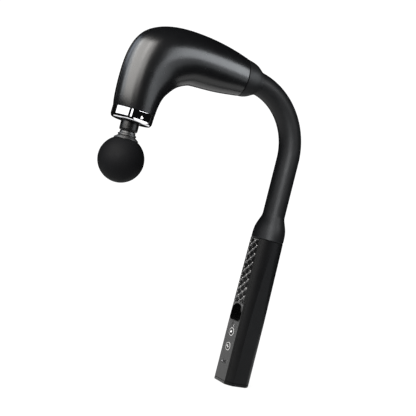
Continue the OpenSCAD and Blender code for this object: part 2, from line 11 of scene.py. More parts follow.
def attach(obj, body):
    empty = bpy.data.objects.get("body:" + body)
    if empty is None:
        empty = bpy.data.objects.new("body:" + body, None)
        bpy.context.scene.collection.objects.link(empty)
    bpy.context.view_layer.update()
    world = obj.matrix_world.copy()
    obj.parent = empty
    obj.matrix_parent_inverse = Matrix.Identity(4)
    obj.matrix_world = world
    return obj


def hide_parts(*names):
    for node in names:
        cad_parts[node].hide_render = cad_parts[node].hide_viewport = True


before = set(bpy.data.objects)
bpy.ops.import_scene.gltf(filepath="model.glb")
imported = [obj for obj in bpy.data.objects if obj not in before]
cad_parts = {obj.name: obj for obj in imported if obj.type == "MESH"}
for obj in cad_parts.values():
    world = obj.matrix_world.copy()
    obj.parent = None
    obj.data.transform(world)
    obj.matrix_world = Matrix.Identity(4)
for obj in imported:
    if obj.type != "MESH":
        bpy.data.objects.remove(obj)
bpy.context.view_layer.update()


MM = 0.001

# ---- Camera ---------------------------------------------------------------
VIEW_AZ = -30.0
VIEW_ROLL = 14.2
VIEW_DISTANCE = 0.9
VIEW_CENTRE = Vector((-0.07845, 0.0, 0.171))
SENSOR_W = 36
PICTURE_W = 416  # pixels; each spans one millimetre at VIEW_DISTANCE


def add_camera():
    az, roll = math.radians(VIEW_AZ), math.radians(VIEW_ROLL)
    back = Vector((math.sin(az), -math.cos(az), 0))
    right = Vector((math.cos(az), math.sin(az), 0))
    up = Vector((0, 0, 1))
    cam_x = math.cos(roll) * right + math.sin(roll) * up
    cam_y = -math.sin(roll) * right + math.cos(roll) * up
    data = bpy.data.cameras.new("camera")
    data.sensor_width = SENSOR_W
    data.lens = SENSOR_W * VIEW_DISTANCE / (PICTURE_W * MM)
    data.clip_end = 50
    cam = bpy.data.objects.new("camera", data)
    bpy.context.collection.objects.link(cam)
    turn = Matrix((cam_x, cam_y, back)).transposed().to_4x4()
    cam.matrix_world = Matrix.Translation(VIEW_CENTRE + VIEW_DISTANCE * back) @ turn
    bpy.context.scene.camera = cam


# ---- Materials ------------------------------------------------------------
# Noise scales are per metre
CLOUD_SCALE = 35.0
PATCH_SCALE = 3.1 * CLOUD_SCALE
NOISE_ROUGHNESS = 0.55
NOISE_LOW, NOISE_HIGH = 0.3, 0.7
PLAIN, NEUTRAL, COOL = (1, 1, 1), (1.0, 1.0, 1.03), (0.95, 1.0, 1.15)


class Nodes:
    """A small helper around one material's node tree."""

    def __init__(self, name):
        self.mat = bpy.data.materials.new(name)
        self.mat.use_nodes = True
        self.tree = self.mat.node_tree
        self.shader = self.tree.nodes["Principled BSDF"]
        coords = self.tree.nodes.new("ShaderNodeTexCoord")
        self.place = coords.outputs["Object"]

    def add(self, kind, inputs=None, **settings):
        node = self.tree.nodes.new("ShaderNode" + kind)
        for key, value in settings.items():
            setattr(node, key, value)
        for key, value in (inputs or {}).items():
            if isinstance(value, bpy.types.NodeSocket):
                self.tree.links.new(value, node.inputs[key])
            else:
                node.inputs[key].default_value = value
        return node

    def noise(self, scale, detail=3.0):
        return self.add("TexNoise", {"Vector": self.place, "Scale": scale, "Detail": detail,
                                     "Roughness": NOISE_ROUGHNESS}).outputs["Fac"]

    def cells(self, scale):
        return self.add("TexVoronoi", {"Vector": self.place, "Scale": scale}).outputs["Distance"]

    def spread(self, value, low, high):
        """Spreads the middle of a noise's range over low to high."""
        return self.add("MapRange", {"Value": value, "From Min": NOISE_LOW, "From Max": NOISE_HIGH,
                                     "To Min": low, "To Max": high}).outputs["Result"]

    def link(self, socket, key):
        self.tree.links.new(socket, self.shader.inputs[key])

    def colour(self, value, dark, light):
        mix = self.add("Mix", {"Factor": value, "A": (*dark, 1), "B": (*light, 1)},
                       data_type="RGBA")
        self.link(mix.outputs["Result"], "Base Color")

    def bump(self, height, strength, distance):
        node = self.add("Bump", {"Height": height, "Strength": strength, "Distance": distance})
        self.link(node.outputs["Normal"], "Normal")

    def fix(self, values):
        for key, value in values.items():
            self.shader.inputs[key].default_value = value


def finish_material(name, dark, light, rough, rough_spread, grain, bump, bump_mm, cells=False,
                    fixed=None):
    """A moulded or machined surface: cloudy colour, uneven roughness, fine grain."""
    m = Nodes(name)
    m.colour(m.spread(m.noise(CLOUD_SCALE), 0, 1), dark, light)
    m.link(m.spread(m.noise(PATCH_SCALE), rough - rough_spread, rough + rough_spread),
           "Roughness")
    m.bump(m.cells(grain) if cells else m.noise(grain, detail=2.0), bump, bump_mm * MM)
    m.fix(fixed or {})
    return m.mat


def grey(v, tint=NEUTRAL):
    return tuple(v * t for t in tint)


SHELL = finish_material("shell_satin_black", grey(0.0014, COOL), grey(0.002, COOL), 0.26, 0.015,
                        grain=2600, bump=0.015, bump_mm=0.004, fixed={"Specular IOR Level": 0.42})
CHROME = finish_material("ring_chrome", grey(0.78), grey(0.84), 0.03, 0.01, grain=300, bump=0.02,
                         bump_mm=0.002, fixed={"Metallic": 1.0})
RUBBER = finish_material("soft_rubber", grey(0.0016, COOL), grey(0.0024, COOL), 0.48, 0.04,
                         grain=3200, bump=0.08, bump_mm=0.01, cells=True,
                         fixed={"Specular IOR Level": 0.22})
HANDLE = finish_material("handle_soft_touch", grey(0.0016, COOL), grey(0.0024, COOL), 0.47, 0.03,
                         grain=3600, bump=0.07, bump_mm=0.008, cells=True,
                         fixed={"Specular IOR Level": 0.12})
GRIP = finish_material("grip_gloss", grey(0.001, COOL), grey(0.0015, COOL), 0.26, 0.03, grain=500,
                       bump=0.04, bump_mm=0.01,
                       fixed={"Specular IOR Level": 1.0, "Coat Weight": 1.0,
                              "Coat Roughness": 0.24})
PANEL = finish_material("panel_satin", grey(0.007), grey(0.009), 0.32, 0.03, grain=2600, bump=0.05,
                        bump_mm=0.008)
LENS = finish_material("lens_gloss", grey(0.0005), grey(0.0008), 0.06, 0.01, grain=60, bump=0.01,
                       bump_mm=0.002, fixed={"Specular IOR Level": 0.3})
COUPLING = finish_material("coupling_gloss", grey(0.002), grey(0.003), 0.27, 0.03, grain=420,
                           bump=0.03, bump_mm=0.004, fixed={"Specular IOR Level": 0.35})
COLLAR = finish_material("collar_satin", grey(0.006), grey(0.008), 0.36, 0.03, grain=2200,
                         bump=0.05, bump_mm=0.008)
FOAM = finish_material("foam_skin", grey(0.0024, COOL), grey(0.0036, COOL), 0.65, 0.05, grain=2400,
                       bump=0.16, bump_mm=0.02, cells=True, fixed={"Specular IOR Level": 0.07})
BUTTON = finish_material("button_satin", grey(0.012), grey(0.016), 0.3, 0.03, grain=2600, bump=0.05,
                         bump_mm=0.008)
LIGHT = finish_material("light_guide", grey(0.3, PLAIN), grey(0.36, PLAIN), 0.25, 0.04,
                        grain=900, bump=0.03, bump_mm=0.005)
MARK = finish_material("printed_white", grey(0.8, PLAIN), grey(0.86, PLAIN), 0.4, 0.05,
                       grain=1500, bump=0.05, bump_mm=0.005)
STEEL = finish_material("ground_steel", grey(0.42), grey(0.55), 0.25, 0.06, grain=700, bump=0.05,
                        bump_mm=0.006, fixed={"Metallic": 1.0})
BLACK_STEEL = finish_material("black_oxide_steel", grey(0.03), grey(0.05), 0.36, 0.06, grain=1300,
                              bump=0.08, bump_mm=0.01, fixed={"Metallic": 0.8})
ALUMINIUM = finish_material("cast_aluminium", grey(0.5), grey(0.6), 0.4, 0.06, grain=900,
                            bump=0.14, bump_mm=0.02, fixed={"Metallic": 1.0})
BRONZE = finish_material("bush_bronze", (0.45, 0.29, 0.12), (0.55, 0.37, 0.16), 0.32, 0.05,
                         grain=800, bump=0.06, bump_mm=0.01, fixed={"Metallic": 1.0})
COPPER = finish_material("enamelled_copper", (0.5, 0.18, 0.07), (0.62, 0.24, 0.1), 0.3, 0.05,
                         grain=1400, bump=0.2, bump_mm=0.03, fixed={"Metallic": 0.9})
PLASTIC = finish_material("moulded_plastic", grey(0.06), grey(0.08), 0.5, 0.05, grain=1500,
                          bump=0.12, bump_mm=0.015)
BOARD = finish_material("solder_mask", (0.01, 0.09, 0.04), (0.015, 0.13, 0.06), 0.3, 0.05,
                        grain=1200, bump=0.08, bump_mm=0.01)
CELL = finish_material("cell_wrap", (0.015, 0.1, 0.2), (0.02, 0.13, 0.26), 0.28, 0.05, grain=700,
                       bump=0.06, bump_mm=0.01)
WIRE = finish_material("wire_insulation", (0.25, 0.02, 0.02), (0.32, 0.03, 0.03), 0.42, 0.05,
                       grain=1100, bump=0.08, bump_mm=0.01)
O_RING = finish_material("o_ring_rubber", (0.3, 0.04, 0.02), (0.36, 0.06, 0.03), 0.45, 0.05,
                         grain=1600, bump=0.08, bump_mm=0.01)
DARK = finish_material("port_dark", grey(0.01), grey(0.02), 0.4, 0.05, grain=1600, bump=0.05,
                       bump_mm=0.01)

NODE_MATERIALS = {
    SHELL: "head_shell_left head_shell_right",
    CHROME: "nose_ring",
    MARK: "ring_mark",
    RUBBER: "dust_seal neck_boot neck_sleeve",
    HANDLE: "handle_shell end_cap",
    GRIP: "grip_panel",
    PANEL: "control_panel",
    LENS: "display_lens",
    COUPLING: "plunger_coupling",
    COLLAR: "stem_core",
    FOAM: "foam_ball",
    BUTTON: "power_button mode_button",
    LIGHT: "light_rings",
    STEEL: "motor_bearings motor_shaft crank_pin roller_bearing plunger_rod plunger_yoke "
           "charging_port tact_switches battery_contacts",
    BLACK_STEEL: "shell_screws motor_screws clamp_screws board_screws end_cap_screws rotor_bell "
                 "rotor_magnets stator_core",
    ALUMINIUM: "mechanism_frame motor_base neck_tube",
    BRONZE: "guide_bush eccentric",
    COPPER: "stator_windings",
    PLASTIC: "neck_lower_clamp neck_upper_clamp battery_holder display_module driver_components",
    BOARD: "driver_board control_board",
    CELL: "lower_cell upper_cell",
    WIRE: "wire_harness",
    O_RING: "o_rings",
}
for material, names in NODE_MATERIALS.items():
    for node_name in names.split():
        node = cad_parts[node_name]
        node.data.materials.clear()
        node.data.materials.append(material)


# ---- Mesh building --------------------------------------------------------
# Shapes are in millimetres: (points, faces) of closed shells, profiles of [radius, height]
ON_AXIS, SAME_POINT = 1e-9, 1e-6
WELD = 1e-7  # metres
# Edges that turn by more degrees than these stay sharp
SHARP, SHARP_SHELL, SHARP_TURNED = 35.0, 40.0, 50.0
ROUND = 96  # points round most circles


def shade(mesh, sharp):
    """Smooth shading, except across edges that turn by more than an angle."""
    mesh.polygons.foreach_set("use_smooth", [True] * len(mesh.polygons))
    mesh.set_sharp_from_angle(angle=math.radians(sharp))


def link_mesh(name, verts, faces, material, sharp=SHARP):
    """A welded and shaded mesh object in the scene."""
    mesh = bpy.data.meshes.new(name)
    mesh.from_pydata([tuple(MM * c for c in v) for v in verts], [], faces)
    bm = bmesh.new()
    bm.from_mesh(mesh)
    bmesh.ops.remove_doubles(bm, verts=bm.verts, dist=WELD)
    bmesh.ops.recalc_face_normals(bm, faces=bm.faces)
    bm.to_mesh(mesh)
    bm.free()
    shade(mesh, sharp)
    mesh.materials.append(material)
    obj = bpy.data.objects.new(name, mesh)
    bpy.context.collection.objects.link(obj)
    return obj


def stand_for(obj, body, slot, *nodes):
    """Lets obj ride on a body and show in place of CAD nodes. The slot is not used."""
    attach(obj, body)
    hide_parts(*nodes)


def ring_skin(rings):
    """Quads between equal closed rings, with both ends closed."""
    count, n = len(rings), len(rings[0])
    verts = [p for ring in rings for p in ring]
    faces = [[i * n + j, i * n + (j + 1) % n, (i + 1) * n + (j + 1) % n, (i + 1) * n + j]
             for i in range(count - 1) for j in range(n)]
    faces.append(list(range(n)))
    faces.append([(count - 1) * n + j for j in reversed(range(n))])
    return verts, faces


def rounded(profile, steps):
    """Replaces each [r, z, fillet] corner of a closed profile with an arc."""
    out = []
    n = len(profile)
    for i, (r, z, fillet) in enumerate(profile):
        here = np.array([r, z], float)
        if fillet <= 0:
            out.append(here)
            continue
        before = np.array(profile[i - 1][:2], float) - here
        after = np.array(profile[(i + 1) % n][:2], float) - here
        before /= np.linalg.norm(before)
        after /= np.linalg.norm(after)
        half = math.acos(max(-1, min(1, float(before @ after)))) / 2
        back = fillet / math.tan(half)
        centre = here + (before + after) / np.linalg.norm(before + after) * fillet / math.sin(half)
        a0 = here + before * back - centre
        a1 = here + after * back - centre
        turn = math.atan2(a0[0] * a1[1] - a0[1] * a1[0], float(a0 @ a1))
        for s in range(steps + 1):
            a = turn * s / steps
            out.append(centre + np.array([a0[0] * math.cos(a) - a0[1] * math.sin(a),
                                          a0[0] * math.sin(a) + a0[1] * math.cos(a)]))
    return [(float(p[0]), float(p[1])) for p in out]


def clean(verts, faces):
    """Drops the repeated points that quads have on the axis."""
    out = []
    for face in faces:
        kept = []
        for v in face:
            if all(math.dist(verts[v], verts[w]) > SAME_POINT for w in kept):
                kept.append(v)
        if len(kept) > 2:
            out.append(kept)
    return out


def lathe(profile, turns):
    """A closed profile turned about the Z axis."""
    n = len(profile)
    verts, faces = [], []
    for i in range(turns):
        a = 2 * math.pi * i / turns
        verts += [(r * math.cos(a), r * math.sin(a), z) for r, z in profile]
    for i in range(turns):
        for j in range(n):
            k, m = (i + 1) % turns, (j + 1) % n
            if profile[j][0] < ON_AXIS and profile[m][0] < ON_AXIS:
                continue
            faces.append([i * n + j, k * n + j, k * n + m, i * n + m])
    return verts, clean(verts, faces)


def arc(r, angles):
    return [(r * math.cos(a), r * math.sin(a)) for a in angles]


def quarter(steps):
    return [math.pi / 2 * i / steps for i in range(steps + 1)]


def moved(verts, matrix):
    return [tuple(matrix @ Vector(v)) for v in verts]


def turned(name, profile, turns, place, material):
    """A turned piece, moved to its place."""
    verts, faces = lathe(profile, turns)
    return link_mesh(name, moved(verts, place), faces, material, sharp=SHARP_TURNED)


def smooth_through(stations, steps):
    """A natural cubic spline through stations, with a number of steps from each to the next.
    It is spaced by the root of the distance between their first four numbers."""
    p = np.array(stations, float)
    n = len(p)
    chord = np.linalg.norm(np.diff(p[:, :4], axis=0), axis=1) ** 0.5
    t = np.concatenate([[0], np.cumsum(chord)])
    h = np.diff(t)
    a = np.zeros((n, n))
    b = np.zeros_like(p)
    a[0, 0] = a[-1, -1] = 1
    for i in range(1, n - 1):
        a[i, i - 1], a[i, i], a[i, i + 1] = h[i - 1], 2 * (h[i - 1] + h[i]), h[i]
        b[i] = 6 * ((p[i + 1] - p[i]) / h[i] - (p[i] - p[i - 1]) / h[i - 1])
    m = np.linalg.solve(a, b)
    out = []
    for i in range(n - 1):
        for s in range(steps + (i == n - 2)):
            u = s / steps * h[i]
            w = h[i] - u
            out.append(m[i] * w ** 3 / (6 * h[i]) + m[i + 1] * u ** 3 / (6 * h[i])
                       + (p[i] / h[i] - m[i] * h[i] / 6) * w
                       + (p[i + 1] / h[i] - m[i + 1] * h[i] / 6) * u)
    return out


# ---- Head -----------------------------------------------------------------
# The nose's axis stands NOSE_X from the handle's, and its ring leans a little
NOSE_X = -183.3
RING_R, RING_H, RING_Z, RING_LEAN = 20.3, 10.9, 231.7, math.radians(3)
RING_TOP = RING_Z + RING_H * math.cos(RING_LEAN)
RING_DX, RING_DZ = RING_H * math.sin(RING_LEAN), RING_R * math.sin(RING_LEAN)
NOSE = Matrix.Translation((NOSE_X, 0, 0))
RING_PLACE = Matrix.Translation((NOSE_X, 0, RING_Z)) @ Matrix.Rotation(RING_LEAN, 4, "Y")

# Each station: inner x, inner z, outer x, outer z, half width
HEAD_STATIONS = [
    [NOSE_X + RING_DX + RING_R, RING_TOP - RING_DZ,
     NOSE_X + RING_DX - RING_R, RING_TOP + RING_DZ, 20.3],
    [NOSE_X + 22, 250.5, NOSE_X - 20.8, 252, 20.7],
    [NOSE_X + 25.2, 261, NOSE_X - 21.1, 277, 21.2],
    [NOSE_X + 29.9, 267.8, NOSE_X - 17.6, 301, 21.6],
    [NOSE_X + 34.2, 272.7, NOSE_X - 8.4, 317.3, 21.9],
    [NOSE_X + 39.7, 276.9, NOSE_X + 10, 327.7, 22.1],
    [NOSE_X + 47.1, 280.4, NOSE_X + 33, 332, 22.2],
    [NOSE_X + 55.3, 281.8, NOSE_X + 55.3, 332.3, 22],
    [NOSE_X + 75, 282.9, NOSE_X + 75, 330.8, 21],
    [NOSE_X + 92, 284.8, NOSE_X + 92, 328.2, 18.9],
    [NOSE_X + 104.8, 286.7, NOSE_X + 104.8, 325.6, 16],
]


def section_point(s, a, grow):
    """A point of a station's ellipse; grow moves it out, or in if negative."""
    half = math.hypot(s[2] - s[0], s[3] - s[1]) / 2
    k = (half + grow) / half
    return ((s[0] + s[2]) / 2 + (s[2] - s[0]) / 2 * k * math.cos(a),
            (s[4] + grow) * math.sin(a),
            (s[1] + s[3]) / 2 + (s[3] - s[1]) / 2 * k * math.cos(a))


def section_ring(s, grow):
    return [section_point(s, 2 * math.pi * i / ROUND, grow) for i in range(ROUND)]


def eased_ends(stations, edge):
    """Rounds both ends of a loft by an edge radius: pairs of (station, grow)."""
    def rounding(end, inner):
        length = max(np.linalg.norm(inner[:4] - end[:4]), SAME_POINT)
        return [(end + (inner - end) * (edge * t / length),
                 -edge * (1 - math.sqrt(1 - (1 - t) ** 2))) for t in (0, 0.3, 1)]
    low, high = rounding(stations[0], stations[1]), rounding(stations[-1], stations[-2])
    return low + [(s, 0.0) for s in stations[1:-1]] + high[::-1]


def half_shell(name, side, node):
    """Half of the head, with its edges at the parting line turned in a little."""
    gap, wall, end_edge, steps, around = 0.06, 2.2, 0.35, 10, 48
    edge_turn, edge_in = 0.006, 0.12
    turns = [math.pi * i / around for i in range(around + 1)]
    rings = []
    for s, shrink in eased_ends(smooth_through(HEAD_STATIONS, steps), end_edge):
        outer = [section_point(s, a, shrink) for a in turns]
        inner = [section_point(s, a, -wall) for a in reversed(turns)]
        outer, inner = ([(x, max(y, gap), z) for x, y, z in line] for line in (outer, inner))
        edges = [section_point(s, a, grow) for a, grow in (
            (edge_turn * 0.3, shrink - edge_in), (edge_turn, shrink),
            (math.pi - edge_turn, shrink), (math.pi - edge_turn * 0.3, shrink - edge_in))]
        ring = edges[:2] + outer[1:-1] + edges[2:] + inner
        rings.append([(x, side * y, z) for x, y, z in ring])
    obj = link_mesh(name, *ring_skin(rings), SHELL, sharp=SHARP_SHELL)
    stand_for(obj, "housing", "shell_plastic", node)


def nose_ring():
    """The ring: a turned cup with a bore in its floor."""
    bore, inner, floor, top = 10.4, RING_R - 2.3, 2, RING_H - 0.02
    profile = rounded([
        [bore, 0, 0.35], [RING_R - 1.3, 0, 2.2], [RING_R - 0.1, 3.0, 1.6], [RING_R, top, 0.55],
        [inner, top, 0.1], [inner, floor, 0.1], [bore, floor, 0.3]], steps=8)
    obj = turned("nose_ring_chrome", profile, 192, RING_PLACE, CHROME)
    stand_for(obj, "housing", "ring_chrome", "nose_ring")


def ring_mark():
    """A small triangle on the ring that points round to its right."""
    azimuth, round_off = math.radians(-86), 0.12
    corners, outline = [(-1.3, 3.3), (1.3, 5.0), (-1.3, 6.7)], []
    for i, (u, z) in enumerate(corners):
        u2, z2 = corners[(i + 1) % 3]
        for near_u, near_z in (corners[i - 1], (u2, z2)):
            outline.append((u + (near_u - u) * round_off, z + (near_z - z) * round_off))
        outline += [(u + (u2 - u) * t, z + (z2 - z) * t) for t in (0.35, 0.6)]
    middle_u, middle_z = (sum(c[k] for c in corners) / 3 for k in (0, 1))
    rings = []
    for rise, shrink in ((-0.03, 0), (0.1, 0), (0.14, 0.05), (0.14, 0.5)):
        r, layer = RING_R + rise, []
        for u, z in outline:
            a = azimuth + (u + (middle_u - u) * shrink) / RING_R
            layer.append((r * math.cos(a), r * math.sin(a), z + (middle_z - z) * shrink))
        rings.append(layer)
    verts, faces = ring_skin(rings)
    obj = link_mesh("ring_mark_triangle", moved(verts, RING_PLACE), faces, MARK)
    stand_for(obj, "housing", "mark_white", "ring_mark")


# ---- Neck -----------------------------------------------------------------
HANDLE_H, SLEEVE_R, TUBE_R = 153.5, 11.75, 8.02
BEND_R, BEND_A, BEND_Z, NECK_X = 66.8, math.radians(80), 239.2, 0.5
BEND_CX = NECK_X - BEND_R
END_X, END_Z = BEND_CX + BEND_R * math.cos(BEND_A), BEND_Z + BEND_R * math.sin(BEND_A)
# The flare's foot is FLARE_X off the handle's axis; its top is on the neck's
FLARE_H, FLARE_R, FLARE_X, FLARE_CURVE = 27.5, 17.0, 0.1, 1.7
FLARE_STEPS, STRAIGHT_STEPS, BEND_STEPS = 44, 7, 48


def circle_at(x, z, heading, r):
    """A circle square to a heading in the XZ plane; heading 0 is straight up."""
    return [(x + r * math.cos(a) * math.cos(heading), r * math.sin(a),
             z + r * math.cos(a) * math.sin(heading))
            for a in (2 * math.pi * i / ROUND for i in range(ROUND))]


def neck_sleeve():
    """The sleeve: its rounded foot, the flare, the straight part, the bend and a tail."""
    straight_z = HANDLE_H + FLARE_H
    rings = [circle_at(FLARE_X, HANDLE_H + rise, 0, r) for rise, r in (
        (0.05, TUBE_R), (0.05, FLARE_R - 0.9), (0.2, FLARE_R - 0.45), (0.5, FLARE_R - 0.12))]
    for i in range(1, FLARE_STEPS + 1):
        t = i / FLARE_STEPS
        swell = 0.5 + 0.5 * math.cos(math.pi * t ** FLARE_CURVE)
        rings.append(circle_at(FLARE_X + (NECK_X - FLARE_X) * t, HANDLE_H + FLARE_H * t, 0,
                               SLEEVE_R + (FLARE_R - SLEEVE_R) * swell))
    for i in range(1, STRAIGHT_STEPS):
        z = straight_z + (BEND_Z - straight_z) * i / STRAIGHT_STEPS
        rings.append(circle_at(NECK_X, z, 0, SLEEVE_R))
    for i in range(BEND_STEPS + 1):
        a = BEND_A * i / BEND_STEPS
        rings.append(circle_at(BEND_CX + BEND_R * math.cos(a), BEND_Z + BEND_R * math.sin(a), a,
                               SLEEVE_R))
    for tail, r in ((2.2, SLEEVE_R), (4.4, SLEEVE_R), (4.4, TUBE_R)):
        rings.append(circle_at(END_X - tail * math.sin(BEND_A), END_Z + tail * math.cos(BEND_A),
                               BEND_A, r))
    obj = link_mesh("neck_sleeve_rubber", *ring_skin(rings), RUBBER, sharp=SHARP_TURNED)
    stand_for(obj, "housing", "soft_rubber", "neck_sleeve")


# Stations like the head's
BOOT_STATIONS = [
    [NOSE_X + 104.8, 287.1, NOSE_X + 104.8, 325.2, 15.6],
    [NOSE_X + 110.3, 287.5, NOSE_X + 111.3, 324.3, 15.5],
    [NOSE_X + 115.8, 289.2, NOSE_X + 118.1, 322.3, 14.7],
    [NOSE_X + 119.7, 291.3, NOSE_X + 122.3, 319.7, 13.4],
    [NOSE_X + 123.0, 292.9, NOSE_X + 124.9, 318.0, 12.4],
    [NOSE_X + 124.6, 293.3, NOSE_X + 126.2, 317.3, 11.9],
]


def neck_boot():
    """The boot; its first and last rings step in, to a neck inside the head and the sleeve."""
    stations = smooth_through(BOOT_STATIONS, 8)
    first, second = stations[:2]
    pairs = eased_ends([first + (second - first) * 0.9] + stations[1:], 0.5)
    pairs = [(first, -6.0), (first, -1.6), (pairs[0][0], -1.6), *pairs, (pairs[-1][0], -3.0)]
    rings = [section_ring(s, grow) for s, grow in pairs]
    obj = link_mesh("neck_boot_rubber", *ring_skin(rings), RUBBER, sharp=SHARP_TURNED)
    stand_for(obj, "housing", "soft_rubber", "neck_boot")


# ---- Plunger and massage head --------------------------------------------
COUPLING_Z, COUPLING_TOP, COUPLING_R = 222.3, 246, 8.85
SOCKET_R, SOCKET_DEPTH = 5.6, 16.2
BALL_R, BALL_Z, BALL_HOLE_R = 22.15, 195.4, 11.15


def plunger_coupling():
    socket_top = COUPLING_Z + SOCKET_DEPTH
    profile = rounded([
        [0, socket_top, 0], [SOCKET_R, socket_top, 0], [SOCKET_R, COUPLING_Z, 0.25],
        [COUPLING_R, COUPLING_Z, 2.1], [COUPLING_R, COUPLING_TOP, 0.8], [0, COUPLING_TOP, 0]],
        steps=8)
    obj = turned("plunger_coupling_gloss", profile, 128, NOSE, COUPLING)
    stand_for(obj, "plunger", "coupling_plastic", "plunger_coupling")


def collar():
    """The stem, and the stepped collar that sits on the ball."""
    profile = rounded([
        [0, 206, 0], [6, 206, 0], [6, 212.5, 0.2], [10.6, 212.5, 0.2], [11.1, 213, 0.2],
        [11.1, 214.65, 0.05], [11.9, 214.65, 0.25], [11.9, 215.25, 0.25], [11.1, 215.55, 0.1],
        [10.9, 215.95, 0.15], [10.2, 216.2, 0.1], [10.0, 216.65, 0.15], [9.3, 216.9, 0.1],
        [8.9, 217.4, 0.2], [8.25, 217.7, 0.2], [8.25, 218, 0.15], [8.95, 218.2, 0.3],
        [8.9, 219.5, 0.45], [7.6, 220.2, 0.3], [7.6, 221.95, 0.2], [5.55, 221.95, 0.1],
        [5.55, 237.5, 1.0], [0, 237.5, 0]], steps=5)
    obj = turned("stem_collar", profile, 128, NOSE, COLLAR)
    stand_for(obj, "massage_head", "collar_plastic", "stem_core")


def ball():
    """The ball, with the hole that the collar sits in."""
    steps, hole_z = 96, BALL_Z + 14
    start = math.asin(BALL_HOLE_R / BALL_R) + 0.02
    profile = [(0, hole_z), (BALL_HOLE_R - 0.15, hole_z), (BALL_HOLE_R, 213.0)]
    profile += [(BALL_R * math.sin(a), BALL_Z + BALL_R * math.cos(a))
                for a in (start + (math.pi - start) * i / steps for i in range(steps + 1))]
    obj = turned("massage_ball", profile, 144, NOSE, FOAM)
    stand_for(obj, "massage_head", "foam_skin", "foam_ball")


# ---- Handle ---------------------------------------------------------------
HANDLE_R, HANDLE_TAPER, KNEE_Z = 18.2, 1.1, 70
SIDE_W, SIDE_SLOPE = 16.4, 0.00524
CAP_H, CAP_SEAM, SCREW_Y, CLAMP_Z, GRIP_Z = 3.0, 0.2, 13, 139, 84.0
# How far the front panels' faces and backs stand in front of the handle's axis
FACE_X, PANEL_X = 15.15, 13.67
# Depths that a cut through the panel starts and ends at
BEHIND, AHEAD = 12, 16.5
PANEL_EDGE = 0.25
POWER_Z, MODE_Z, BUTTON_R, FLANGE_R = 53.0, 37.5, 3.4, 4.3
MARK_LOW, MARK_HIGH = 15.3, 15.66
PORT_Z, SLOT_HALF = 21.6, 2.9
DISPLAY_Z, DISPLAY_R, DISPLAY_TOP, DISPLAY_CORNER = 65.0, 9.5, 73.7, 3
DIMPLE_Z, DIMPLE_R, DIMPLE_DEPTH = 61.35, 3.45, 0.85
DIAMOND_H, DIAMOND_W, LATTICE_Z, LATTICE_DEPTH = 9.06, 10.8, 86.6, 0.6
RIDGE_HALF, KNOT_R, KNOT_H, KNOT_BASE = 1.05, 1.75, 1.05, -0.3
# Plain borders of the grip: at its sides, bottom and top, and the width of their edge
GRIP_SIDES, GRIP_BOTTOM, GRIP_TOP, GRIP_FADE = 0.75, 0.9, 1.1, 0.6


def handle_r(z):
    return HANDLE_R - HANDLE_TAPER * max(0.0, z - KNEE_Z) / (HANDLE_H - KNEE_Z)


def softened(line, where, cut=0.35):
    """Turns the corners at the given places of an open line into small arcs."""
    out = []
    for i, p in enumerate(line):
        if i not in where:
            out.append(p)
            continue
        here, before, after = (np.array(line[k], float) for k in (i, i - 1, i + 1))
        a = here + (before - here) * min(cut / np.linalg.norm(before - here), 0.45)
        b = here + (after - here) * min(cut / np.linalg.norm(after - here), 0.45)
        for t in (0, 0.25, 0.5, 0.75, 1):
            out.append(tuple((1 - t) ** 2 * a + 2 * t * (1 - t) * here + t ** 2 * b))
    return out


def handle_half(z, front, inset):
    """Half of the handle's outline: front edge, arc, flat side, and arc to the back."""
    r = handle_r(z) - inset
    w = min(SIDE_W + SIDE_SLOPE * z, handle_r(z) - 0.001) - inset
    x_flat, first, last = math.sqrt(r * r - w * w), math.acos(-front / r), math.asin(w / r)
    line = arc(r, [first + (math.pi - last - first) * i / 8 for i in range(9)])
    line += [(-x_flat + 2 * x_flat * i / 6, w) for i in range(1, 6)]
    line += arc(r, [last * (1 - i / 18) for i in range(19)])
    # its corners are where the flat side starts and ends
    return softened(line, (8, 14))


def mirrored(half):
    return half + [(x, -y) for x, y in reversed(half[:-1])]


def at_height(ring, z):
    return [(x, y, z) for x, y in ring]


def edge_steps(z0, z1, edge, middle):
    """Heights and insets of a body whose two end edges are rounded."""
    low = [(z0 + edge * (1 - math.cos(a)), edge * (1 - math.sin(a)))
           for a in quarter(3)]
    high = [(z1 - (z - z0), inset) for z, inset in reversed(low)]
    return low + [(z, 0.0) for z in middle] + high


def together(*parts):
    """Several closed shells as one list of points and faces."""
    verts, faces = [], []
    for v, f in parts:
        faces += [[k + len(verts) for k in face] for face in f]
        verts += list(v)
    return verts, faces


def even(obj):
    """Normals weighted by face size, so that flats stay flat beside small edges."""
    obj.modifiers.new("even", "WEIGHTED_NORMAL").keep_sharp = True


def carve(obj, cutters):
    """Cuts the cutters' shapes out of obj's own mesh."""
    for verts, faces in cutters:
        tool = link_mesh("cutter", verts, faces, obj.data.materials[0])
        cut = obj.modifiers.new("cut", "BOOLEAN")
        cut.operation, cut.solver, cut.object = "DIFFERENCE", "EXACT", tool
        whole = bpy.data.meshes.new_from_object(
            obj.evaluated_get(bpy.context.evaluated_depsgraph_get()))
        obj.modifiers.remove(cut)
        obj.data = whole
        bpy.data.objects.remove(tool)
    shade(obj.data, SHARP)


def at_screws(shape):
    """Copies of a shape at both of the end cap's screws."""
    verts, faces = shape
    return [(moved(verts, Matrix.Translation((0, y, 0))), faces) for y in (-SCREW_Y, SCREW_Y)]


def on_front(z):
    """Turns a profile's axis to point out of the handle's front at a height."""
    return Matrix.Translation((0, 0, z)) @ Matrix.Rotation(-math.pi / 2, 4, "Y")


def front_lathe(profile, z, turns=ROUND):
    verts, faces = lathe(profile, turns)
    return moved(verts, on_front(z)), faces


